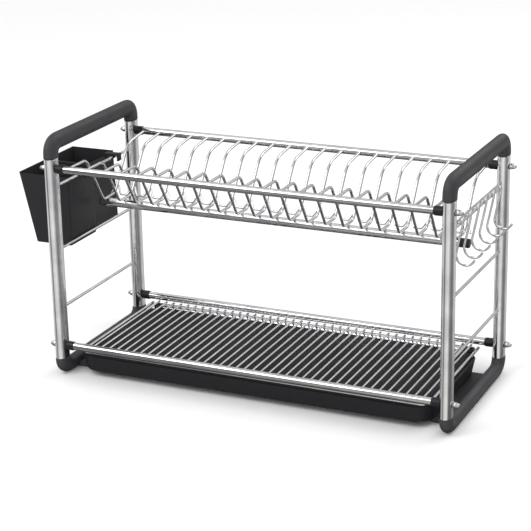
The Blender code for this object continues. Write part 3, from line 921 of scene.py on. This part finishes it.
@dataclass
class RailJoint:
    """Where one rail meets one upright: the bushing inside, the washer and the cap nut outside."""

    level: Level
    depth: Depth
    side: Side
    finishes: Finishes
    bore: float = 0.0023
    spigot_radius: float = 0.0037
    spigot_length: float = 0.006
    seat_gap: float = 0.0003
    hex_share: float = 0.4
    half_flats: float = 0.0035
    hex_edge: float = 0.00035
    dome_inset: float = 0.0003
    dome_steps: int = 10

    @property
    def spot(self) -> str:
        """The joint's name, as the nodes spell it."""
        return f"{self.level.value}_{self.depth.name.lower()}_{self.side.name.lower()}"

    def build(self) -> None:
        """Builds the joint's three pieces."""
        self.build_bushing()
        self.build_washer()
        self.build_cap_nut()

    def build_bushing(self) -> None:
        """Builds the moulded spacer, whose outer end is hollowed to sit on the oval upright."""
        node = f"{self.spot}_bushing"
        low, high, centre = extent(node)
        sign = self.side.value
        radius = (high.z - low.z) / 2
        tube_low, tube_high, tube = extent(f"{self.depth.name.lower()}_{self.side.name.lower()}_upright")
        half_x = (tube_high.x - tube_low.x) / 2 + self.seat_gap
        half_y = (tube_high.y - tube_low.y) / 2 + self.seat_gap
        spigot_x = low.x if sign > 0 else high.x
        shoulder_x = spigot_x + sign * self.spigot_length
        seat_x = tube.x - sign * half_x
        profile = [
            (spigot_x, self.bore),
            (seat_x, self.bore),
            (seat_x, radius),
            (shoulder_x + sign * MOULDED_EDGE, radius),
            (shoulder_x, radius - MOULDED_EDGE),
            (shoulder_x, self.spigot_radius),
            (spigot_x, self.spigot_radius),
        ]
        body = turned(profile, centre.y, centre.z, 36)
        for vert in body.verts:
            if abs(vert.co.x - seat_x) < 1e-6:
                across = (vert.co.y - centre.y) / half_y
                vert.co.x = tube.x - sign * half_x * math.sqrt(1 - across * across)
        name = f"{node}_moulded"
        Piece(name, "frame", Slot.BUSHING_PLASTIC, self.finishes.black_plastic, (node,)).make(body)

    def build_washer(self) -> None:
        """Builds the flat washer."""
        node = f"{self.spot}_washer"
        low, high, centre = extent(node)
        radius = (high.z - low.z) / 2
        rim = (high.x - low.x) / 4
        body = turned(ring_profile(low.x, high.x, self.bore, radius, rim), centre.y, centre.z, 32)
        Piece(f"{node}_plated", "frame", Slot.BRIGHT_ZINC, self.finishes.zinc, (node,)).make(body)

    def build_cap_nut(self) -> None:
        """Builds the chamfered hexagon and the dome over it."""
        node = f"{self.spot}_cap_nut"
        low, high, centre = extent(node)
        sign = self.side.value
        start_x = low.x if sign > 0 else high.x
        length = high.x - low.x
        hex_length = length * self.hex_share
        hex_radius = self.half_flats / math.cos(math.pi / 6)
        body = bmesh.new()
        middle_x = start_x + sign * hex_length / 2
        place = Matrix.Translation((middle_x, centre.y, centre.z)) @ Matrix.Rotation(math.pi / 2, 4, "Y")
        bmesh.ops.create_cone(
            body,
            cap_ends=True,
            segments=6,
            radius1=hex_radius,
            radius2=hex_radius,
            depth=hex_length,
            matrix=place,
        )
        round_edges(body, sharp_edges(body, math.radians(40)), self.hex_edge, 2)
        dome_radius = self.half_flats - self.dome_inset
        rise = length - hex_length
        skin = Sweep(body, self.dome_ring(start_x + sign * hex_length * 0.8, centre, dome_radius), 28)
        skin.ring(self.dome_ring(start_x + sign * hex_length, centre, dome_radius))
        for step in range(1, self.dome_steps):
            turn = math.pi / 2 * step / self.dome_steps
            x = start_x + sign * (hex_length + rise * math.sin(turn))
            skin.ring(self.dome_ring(x, centre, dome_radius * math.cos(turn)))
        skin.cap_ends()
        Piece(f"{node}_plated", "frame", Slot.BRIGHT_ZINC, self.finishes.zinc, (node,), 30.0).make(body)

    def dome_ring(self, x: float, centre: Vector, radius: float) -> Matrix:
        """Where one ring of the dome goes."""
        return placed(Vector((x, centre.y, centre.z)), Y_AXIS * radius, Z_AXIS * radius * self.side.value)


@dataclass
class TubeCap:
    """A black plug in the end of a chrome tube."""

    node: str
    side: Side
    material: bpy.types.Material
    spigot_radius: float = 0.0047
    spigot_length: float = 0.006
    dome: float = 0.0016
    dome_share: float = 0.6

    def build(self) -> None:
        """Builds the plug with a domed outer face."""
        low, high, centre = extent(self.node)
        sign = self.side.value
        radius = (high.z - low.z) / 2
        spigot_x = low.x if sign > 0 else high.x
        end_x = high.x if sign > 0 else low.x
        shoulder_x = spigot_x + sign * self.spigot_length
        rim = min(self.dome, abs(end_x - shoulder_x) * self.dome_share)
        body = bmesh.new()
        stations = [
            (spigot_x, self.spigot_radius * 0.9),
            (spigot_x + sign * MOULDED_EDGE, self.spigot_radius),
            (shoulder_x, self.spigot_radius),
            (shoulder_x, radius - CRISP_EDGE),
            (shoulder_x + sign * CRISP_EDGE, radius),
        ]
        stations += [
            (end_x - sign * rim * (1 - math.sin(turn)), radius - rim * (1 - math.cos(turn)))
            for turn in (math.pi / 2 * step / 5 for step in range(6))
        ]
        skin = None
        for x, ring_radius in stations:
            matrix = placed(Vector((x, centre.y, centre.z)), Y_AXIS * ring_radius, Z_AXIS * ring_radius)
            skin = skin.ring(matrix) if skin else Sweep(body, matrix, 32)
        skin.cap_ends()
        Piece(f"{self.node}_plug", "frame", Slot.BUSHING_PLASTIC, self.material, (self.node,)).make(body)


# ---------------------------------------------------------------------------------------------- wire work


@dataclass
class PlateRack:
    """The bent dividers and the wave wire that ties their rear legs."""

    finishes: Finishes
    divider_count: int = 21
    divider_radius: float = 0.0019
    end_margin: float = 0.0025
    shoulder_y: float = -0.0566
    valley_half_width: float = 0.016
    knee_y: float = 0.058
    knee_drop: float = 0.005
    seam_gap: float = 0.0003
    wave_radius: float = 0.0015
    wave_rise: float = 0.012
    wave_half_base: float = 0.0075
    wave_bite: float = 0.0008
    wave_bend: float = 0.002
    wave_peak_bend: float = 0.0022
    bends: tuple[float, ...] = (0.013, 0.010, 0.010, 0.030)

    def build(self) -> None:
        """Builds the welded plate rack as one piece."""
        rail_low, rail_high, rail = extent("upper_front_rail")
        rear_low, rear_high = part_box("upper_rear_rail")
        tube_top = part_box("plate_rack_tube")[1].z
        start_y = rail_high.y + self.seam_gap
        end_y = rear_low.y - self.seam_gap
        valley_z = tube_top + self.seam_gap + self.divider_radius
        first_x = rail_low.x + self.end_margin
        last_x = rail_high.x - self.end_margin
        pitch = (last_x - first_x) / (self.divider_count - 1)
        body = bmesh.new()
        stations = [first_x + pitch * i for i in range(self.divider_count)]
        for x in stations:
            corners = [
                Vector((x, start_y, rail.z)),
                Vector((x, self.shoulder_y, rail.z)),
                Vector((x, -self.valley_half_width, valley_z)),
                Vector((x, self.valley_half_width, valley_z)),
                Vector((x, self.knee_y, rail.z - self.knee_drop)),
                Vector((x, end_y, rail.z)),
            ]
            WireBender.follow(body, corners, list(self.bends), X_AXIS, self.divider_radius, 14, 8)
        self.add_wave(body, stations, valley_z, rail.z)
        material = self.finishes.wire_chrome
        Piece("plate_rack_wires", "frame", Slot.WIRE_CHROME, material, ("plate_rack",)).make(body)

    def add_wave(self, body: bmesh.types.BMesh, stations: list[float], valley_z: float, rail_z: float) -> None:
        """Adds the wire that rises to a peak behind every divider's rear leg.

        Args:
            body: the plate rack's mesh.
            stations: each divider's X.
            valley_z: the height of the dividers' valleys.
            rail_z: the height of the rails.
        """
        run_y = self.knee_y - self.valley_half_width
        leg = Vector((0, run_y, rail_z - self.knee_drop - valley_z)).normalized()
        behind = (-X_AXIS).cross(leg)
        base = Vector((0, self.valley_half_width, valley_z))
        base += behind * (self.divider_radius + self.wave_radius - self.wave_bite)
        peak = base + leg * (self.wave_rise / leg.z)
        corners: list[Vector] = []
        radii: list[float] = []
        for x in stations:
            for point, sideways, radius in (
                (base, -self.wave_half_base, self.wave_bend),
                (peak, 0.0, self.wave_peak_bend),
                (base, self.wave_half_base, self.wave_bend),
            ):
                corners.append(point + X_AXIS * (x + sideways))
                radii.append(radius)
        WireBender.follow(body, corners, radii[1:-1], behind, self.wave_radius, 10, 5)


@dataclass
class LowerShelf:
    """Forty-one cross wires welded on a border wire."""

    finishes: Finishes
    wire_count: int = 41
    wire_radius: float = 0.0015
    half_span: float = 0.2335
    overhang: float = 0.0005
    border_radius: float = 0.002
    border_corner: float = 0.012
    bite: float = 0.0008

    def build(self) -> None:
        """Builds the shelf as one piece."""
        low, high, centre = extent("lower_shelf")
        wire_z = high.z - self.wire_radius
        border_z = wire_z - self.wire_radius - self.border_radius + self.bite
        front_y = low.y + self.border_radius
        rear_y = high.y
        body = bmesh.new()
        pitch = 2 * self.half_span / (self.wire_count - 1)
        for i in range(self.wire_count):
            x = centre.x - self.half_span + pitch * i
            ends = [Vector((x, front_y - self.overhang, wire_z)), Vector((x, rear_y, wire_z))]
            WireBender.follow(body, ends, [], X_AXIS, self.wire_radius, 12)
        left = low.x + self.border_radius
        right = high.x - self.border_radius
        corners = [
            Vector((left, rear_y, border_z)),
            Vector((left, front_y, border_z)),
            Vector((right, front_y, border_z)),
            Vector((right, rear_y, border_z)),
        ]
        WireBender.follow(body, corners, [self.border_corner] * 2, Z_AXIS, self.border_radius, 14, 8)
        material = self.finishes.wire_chrome
        Piece("lower_shelf_wires", "frame", Slot.WIRE_CHROME, material, ("lower_shelf",)).make(body)


@dataclass
class CupHookRack:
    """Six J hooks that loop over the right upper cross rod, and the wire that ties them."""

    finishes: Finishes
    count: int = 6
    pitch: float = 0.031
    radius: float = 0.0015
    rod_gap: float = 0.0004
    stem: float = 0.038
    slant: float = math.radians(11.5)
    bend_radius: float = 0.012
    tail_turn: float = math.radians(210)
    lip_turn: float = math.radians(340)
    overhang: float = 0.003
    bite: float = 0.0008

    def build(self) -> None:
        """Builds the hooks as one piece."""
        rod_low, rod_high, rod = extent("right_upper_cross_rod")
        rod_radius = (rod_high.z - rod_low.z) / 2
        loop = rod_radius + self.rod_gap + self.radius
        low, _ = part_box("cup_hook_rack")
        first_y = low.y + self.overhang
        body = bmesh.new()
        for i in range(self.count):
            y = first_y + self.pitch * i
            start = Vector((math.cos(self.tail_turn), 0, math.sin(self.tail_turn))) * loop
            start += Vector((rod.x, y, rod.z))
            heading = Vector((math.sin(self.tail_turn), 0, -math.cos(self.tail_turn)))
            hook = WireBender(body, start, heading, Y_AXIS, self.radius, 14)
            hook.bend(self.tail_turn + self.slant, loop, 14)
            hook.feed(self.stem)
            hook.bend(-(self.lip_turn - math.pi + self.slant), self.bend_radius, 16)
            hook.finish()
        tie_z = rod.z + loop + 2 * self.radius - self.bite
        last_y = first_y + self.pitch * (self.count - 1)
        ends = [Vector((rod.x, first_y - self.overhang, tie_z)), Vector((rod.x, last_y + self.overhang, tie_z))]
        WireBender.follow(body, ends, [], X_AXIS, self.radius, 14)
        material = self.finishes.wire_chrome
        Piece("cup_hooks", "cup_hook_rack", Slot.WIRE_CHROME, material, ("cup_hook_rack",)).make(body)


# ---------------------------------------------------------------------------------------------- tray and box


@dataclass
class DripTray:
    """The shallow tray, with a rounded rim, drafted walls and a rounded foot."""

    finishes: Finishes
    wall: float = 0.0018
    corner: float = 0.025
    draft: float = 0.004
    foot: float = 0.003
    rim_share: float = 0.42
    corner_segments: int = 12

    def build(self) -> None:
        """Builds the tray in one piece.

        Known fault: the face sunk after the inset is one of the rim's, so the tray comes out closed on top.
        """
        low, high, centre = extent("drip_tray")
        body = bmesh.new()
        bmesh.ops.create_cube(body, size=1.0)
        size = high - low
        bmesh.ops.transform(
            body, matrix=Matrix.Translation(centre) @ Matrix.Diagonal(size).to_4x4(), verts=body.verts
        )
        upright = [edge for edge in body.edges if abs(edge.verts[0].co.z - edge.verts[1].co.z) > size.z / 2]
        round_edges(body, upright, self.corner, self.corner_segments)
        self.draw_in(body, low.z, centre, self.draft)
        top = max(body.faces, key=lambda face: face.calc_center_median().z)
        bmesh.ops.inset_region(body, faces=[top], thickness=self.wall, depth=0.0)
        top = max(body.faces, key=lambda face: (face.calc_center_median().z, face.calc_area()))
        sunk = bmesh.ops.extrude_face_region(body, geom=[top])["geom"]
        bmesh.ops.delete(body, geom=[top], context="FACES_ONLY")
        bmesh.ops.translate(body, verts=verts_of(sunk), vec=(0, 0, -(size.z - self.wall)))
        self.draw_in(body, low.z + self.wall, centre, self.draft)
        round_edges(body, sharp_edges(body, 0.8, below=low.z + self.wall + TOUCHING), self.foot, 5)
        round_edges(body, sharp_edges(body, 0.8, above=high.z - TOUCHING), self.wall * self.rim_share, 4)
        material = self.finishes.tray_plastic
        Piece("drip_tray_moulding", "drip_tray", Slot.TRAY_PLASTIC, material, ("drip_tray",), 50.0).make(body)

    def draw_in(self, body: bmesh.types.BMesh, z: float, centre: Vector, inset: float) -> None:
        """Moves the points at one height towards the tray's middle, so that its walls lean.

        Args:
            body: the tray's mesh.
            z: the height of the points.
            centre: the tray's middle.
            inset: how far they move.
        """
        for vert in body.verts:
            if abs(vert.co.z - z) < TOUCHING:
                vert.co.x -= math.copysign(inset, vert.co.x - centre.x)
                vert.co.y -= math.copysign(inset, vert.co.y - centre.y)


@dataclass
class CutleryBox:
    """The two-cell box and the two straps that hook over the left upper cross rod."""

    finishes: Finishes
    wall: float = 0.0018
    draft: float = 0.022
    rear_step: float = 0.010
    partition_y: float = 0.003
    corner: float = 0.005
    rim_height: float = 0.261
    strap_width: float = 0.010
    strap_thickness: float = 0.0022
    strap_gap: float = 0.0003
    strap_drop: float = 0.006
    strap_throat: float = 0.0035
    rod_clearance: float = 0.0008
    front_strap_inset: float = 0.032
    rear_strap_inset: float = 0.020
    strap_root: float = 0.009
    strap_edge: float = 0.0005
    corner_share: float = 0.6
    brim_share: float = 0.4
    foot: float = 0.003

    def build(self) -> None:
        """Builds the box as one piece."""
        low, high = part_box("cutlery_box")
        rod_low, rod_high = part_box("left_upper_cross_rod")
        inner_x = rod_low.x - self.rod_clearance
        body = bmesh.new()
        self.add_tub(body, low, high, inner_x)
        for y in (low.y + self.front_strap_inset, high.y - self.rear_strap_inset):
            self.add_strap(body, y, inner_x if y < self.partition_y else inner_x - self.rear_step, rod_high)
        material = self.finishes.box_plastic
        nodes = ("cutlery_box",)
        Piece("cutlery_box_moulding", "cutlery_box", Slot.BOX_PLASTIC, material, nodes, 45.0).make(body)

    def add_tub(self, body: bmesh.types.BMesh, low: Vector, high: Vector, inner_x: float) -> None:
        """Adds the tapered shell with its two cells.

        Args:
            body: the box's mesh.
            low: the node's lowest corner.
            high: the node's highest corner.
            inner_x: the front cell's face beside the rod.
        """
        outline = [
            (low.x, low.y),
            (inner_x, low.y),
            (inner_x, self.partition_y),
            (inner_x - self.rear_step, self.partition_y),
            (inner_x - self.rear_step, high.y),
            (low.x, high.y),
            (low.x, self.partition_y),
        ]
        points = [body.verts.new((x, y, low.z)) for x, y in outline]
        front = body.faces.new((points[0], points[1], points[2], points[3], points[6]))
        rear = body.faces.new((points[3], points[4], points[5], points[6]))
        raised = bmesh.ops.extrude_face_region(body, geom=[front, rear])["geom"]
        bmesh.ops.translate(body, verts=verts_of(raised), vec=(0, 0, self.rim_height - low.z))
        tops = [item for item in raised if isinstance(item, bmesh.types.BMFace)]
        bmesh.ops.inset_individual(body, faces=tops, thickness=self.wall, depth=0.0, use_even_offset=True)
        sunk: list[bmesh.types.BMVert] = []
        for top in tops:
            grown = bmesh.ops.extrude_discrete_faces(body, faces=[top])["faces"]
            sunk += [vert for face in grown for vert in face.verts]
        bmesh.ops.translate(body, verts=sunk, vec=(0, 0, low.z + self.wall - self.rim_height))
        bmesh.ops.recalc_face_normals(body, faces=body.faces)
        corners = [
            edge
            for edge in body.edges
            if abs(edge.verts[0].co.z - edge.verts[1].co.z) > 0.05 and edge.calc_face_angle(0.0) > 1.0
        ]
        round_edges(body, corners, self.corner * self.corner_share, 5)
        height = self.rim_height - low.z
        for vert in body.verts:
            depth_share = (self.rim_height - vert.co.z) / height
            outward = (inner_x - vert.co.x) / (inner_x - low.x)
            vert.co.x += self.draft * depth_share * outward
        brims = sharp_edges(body, 0.8, above=self.rim_height - TOUCHING)
        round_edges(body, brims, self.wall * self.brim_share, 3)
        round_edges(body, sharp_edges(body, 0.8, below=low.z + TOUCHING), self.foot, 4)

    def add_strap(self, body: bmesh.types.BMesh, y: float, wall_x: float, rod_high: Vector) -> None:
        """Adds one strap that reaches over the rod and down behind it.

        Args:
            body: the box's mesh.
            y: the strap's middle.
            wall_x: the outer face of the wall that it grows from.
            rod_high: the highest corner of the rod's box.
        """
        over = rod_high.z + self.strap_gap
        inner = rod_high.x + self.strap_throat
        top = over + self.strap_thickness
        root = wall_x - self.wall * 0.8
        outline = (
            (root, over - self.strap_root),
            (wall_x + 0.0003, over - self.strap_root),
            (wall_x + 0.0005, over),
            (inner, over),
            (inner, over - self.strap_drop - 0.002),
            (inner + self.strap_thickness, over - self.strap_drop - 0.002),
            (inner + self.strap_thickness, top),
            (root, top),
        )
        points = [body.verts.new((x, y - self.strap_width / 2, z)) for x, z in outline]
        face = body.faces.new(points)
        grown = bmesh.ops.extrude_face_region(body, geom=[face])["geom"]
        verts = verts_of(grown)
        bmesh.ops.translate(body, verts=verts, vec=(0, self.strap_width, 0))
        loose = set(points + verts)
        edges = [edge for edge in body.edges if loose.issuperset(edge.verts) and edge.is_manifold]
        bmesh.ops.recalc_face_normals(body, faces=list({f for v in loose for f in v.link_faces}))
        edges = [edge for edge in edges if edge.calc_face_angle(0.0) > 0.5]
        round_edges(body, edges, self.strap_edge, 2)


# ---------------------------------------------------------------------------------------------- studio


@dataclass
class Studio:
    """A pale floor, soft lights, a plain bright surround and the camera."""

    azimuth: float = math.radians(24.68)
    elevation: float = math.radians(18.84)
    roll: float = math.radians(-1.16)
    distance: float = 2.276
    lens: float = 117.4
    target_offset: Vector = Vector((-0.018, 0.0, 0.149))
    height_stops: tuple[tuple[float, tuple[float, float, float]], ...] = (
        (0.00, (0.62, 0.58, 0.53)),
        (0.30, (0.85, 0.83, 0.80)),
        (0.44, (0.92, 0.91, 0.90)),
        (0.475, (0.10, 0.10, 0.10)),
        (0.53, (0.10, 0.10, 0.10)),
        (0.57, (0.84, 0.83, 0.82)),
        (0.80, (1.0, 1.0, 1.0)),
        (1.00, (1.0, 1.0, 1.0)),
    )
    bearing_stops: tuple[tuple[float, tuple[float, float, float]], ...] = (
        (0.00, (0.97, 0.97, 0.98)),
        (0.10, (0.37, 0.37, 0.38)),
        (0.16, (0.18, 0.18, 0.19)),
        (0.22, (0.82, 0.82, 0.82)),
        (0.40, (1.0, 1.0, 1.0)),
        (0.50, (0.33, 0.33, 0.34)),
        (0.58, (0.22, 0.22, 0.23)),
        (0.66, (0.77, 0.77, 0.77)),
        (0.80, (0.47, 0.47, 0.47)),
        (1.00, (0.97, 0.97, 0.98)),
    )
    shadow_below: tuple[float, float] = (-0.34, -0.44)
    shadow_behind: tuple[float, float] = (-0.32, -0.08)
    shadow: tuple[float, float, float, float] = (0.05, 0.05, 0.05, 1)

    def build(self) -> None:
        """Builds the stage."""
        self.build_camera()
        self.build_floor()
        self.build_world()
        self.build_lights()
        bpy.context.scene.view_settings.view_transform = "Standard"

    def build_camera(self) -> None:
        """Adds the camera and makes it the scene's."""
        back = Vector(
            (
                math.sin(self.azimuth) * math.cos(self.elevation),
                -math.cos(self.azimuth) * math.cos(self.elevation),
                math.sin(self.elevation),
            )
        )
        right = (-back).cross(Z_AXIS).normalized()
        up = right.cross(-back)
        rolled_right = right * math.cos(self.roll) + up * math.sin(self.roll)
        rolled_up = up * math.cos(self.roll) - right * math.sin(self.roll)
        rail = extent("upper_front_rail")[2]
        target = Vector((rail.x, 0, 0)) + self.target_offset
        data = bpy.data.cameras.new("studio_camera")
        data.lens = self.lens
        data.sensor_width = 36.0
        data.clip_end = 50.0
        camera = bpy.data.objects.new("studio_camera", data)
        camera.matrix_world = from_axes(rolled_right, rolled_up, back, target + back * self.distance)
        bpy.context.scene.collection.objects.link(camera)
        bpy.context.scene.camera = camera

    def build_floor(self) -> None:
        """Adds the pale floor, which the chrome doesn't mirror."""
        body = bmesh.new()
        bmesh.ops.create_grid(body, x_segments=2, y_segments=2, size=12.0)
        mesh = bpy.data.meshes.new("studio_floor")
        body.to_mesh(mesh)
        body.free()
        sheet = FinishSheet("pale_floor")
        matt = {"Base Color": (0.93, 0.93, 0.93, 1), "Roughness": 0.9, "Specular IOR Level": 0.1}
        sheet.fill(sheet.shader, matt)
        mesh.materials.append(sheet.material)
        floor = bpy.data.objects.new("studio_floor", mesh)
        floor.location = (0, 0, -0.0004)
        floor.visible_glossy = False
        bpy.context.scene.collection.objects.link(floor)

    def build_world(self) -> None:
        """Adds the surround: plain white for light, with darker bands that only polished metal mirrors."""
        world = bpy.data.worlds.new("studio_world")
        world.use_nodes = True
        sheet = NodeSheet(world.node_tree)
        place = sheet.add("ShaderNodeTexCoord", {}).outputs["Generated"]
        x, y, z = sheet.add("ShaderNodeSeparateXYZ", {"Vector": place}).outputs
        bearing = sheet.calculated("ARCTAN2", y, x)
        by_height = sheet.ramp(sheet.rescaled(z, (-1.0, 1.0)), list(self.height_stops))
        by_bearing = sheet.ramp(sheet.rescaled(bearing, (-math.pi, math.pi)), list(self.bearing_stops))
        below = sheet.rescaled(z, self.shadow_below, interpolation="SMOOTHSTEP")
        behind = sheet.rescaled(y, self.shadow_behind, interpolation="SMOOTHSTEP")
        mirrored = sheet.mixed(1.0, by_height, by_bearing, "MULTIPLY")
        shaded = sheet.mixed(sheet.calculated("MULTIPLY", below, behind), mirrored, self.shadow)
        glossy = sheet.add("ShaderNodeLightPath", {}).outputs["Is Glossy Ray"]
        surround = sheet.mixed(glossy, (1, 1, 1, 1), shaded)
        sheet.fill(sheet.tree.nodes["Background"], {"Color": surround, "Strength": 1.0})
        bpy.context.scene.world = world

    def build_lights(self) -> None:
        """Adds the soft lights."""
        for name, place, aim, size, power in (
            ("key_softbox", (-0.9, -1.3, 1.6), (0, 0, 0.1), 1.2, 14.0),
            ("rear_softbox", (0.9, 1.2, 1.7), (0, 0, 0.1), 1.4, 10.0),
        ):
            data = bpy.data.lights.new(name, "AREA")
            data.shape = "SQUARE"
            data.size = size
            data.energy = power
            light = bpy.data.objects.new(name, data)
            light.location = place
            light.rotation_euler = (Vector(aim) - Vector(place)).to_track_quat("-Z", "Y").to_euler()
            bpy.context.scene.collection.objects.link(light)


def main() -> None:
    """Builds the rack's sub-assemblies in order, then the stage around them."""
    finishes = Finishes()
    for side in Side:
        EndFrame(side, finishes).build()
    for level in Level:
        for depth in Depth:
            spot = f"{level.value}_{depth.name.lower()}"
            Tube(f"{spot}_rail", finishes.tube_chrome).build()
            dress(f"{spot}_tie_rod", finishes.zinc)
            for side in Side:
                RailJoint(level, depth, side, finishes).build()
    for name in ("plate_rack", "lower_shelf"):
        Tube(f"{name}_tube", finishes.tube_chrome).build()
        for side in Side:
            TubeCap(f"{name}_tube_{side.name.lower()}_cap", side, finishes.black_plastic).build()
    PlateRack(finishes).build()
    LowerShelf(finishes).build()
    CupHookRack(finishes).build()
    DripTray(finishes).build()
    CutleryBox(finishes).build()
    Studio().build()


if __name__ == "__main__":
    main()
    bpy.context.view_layer.update()
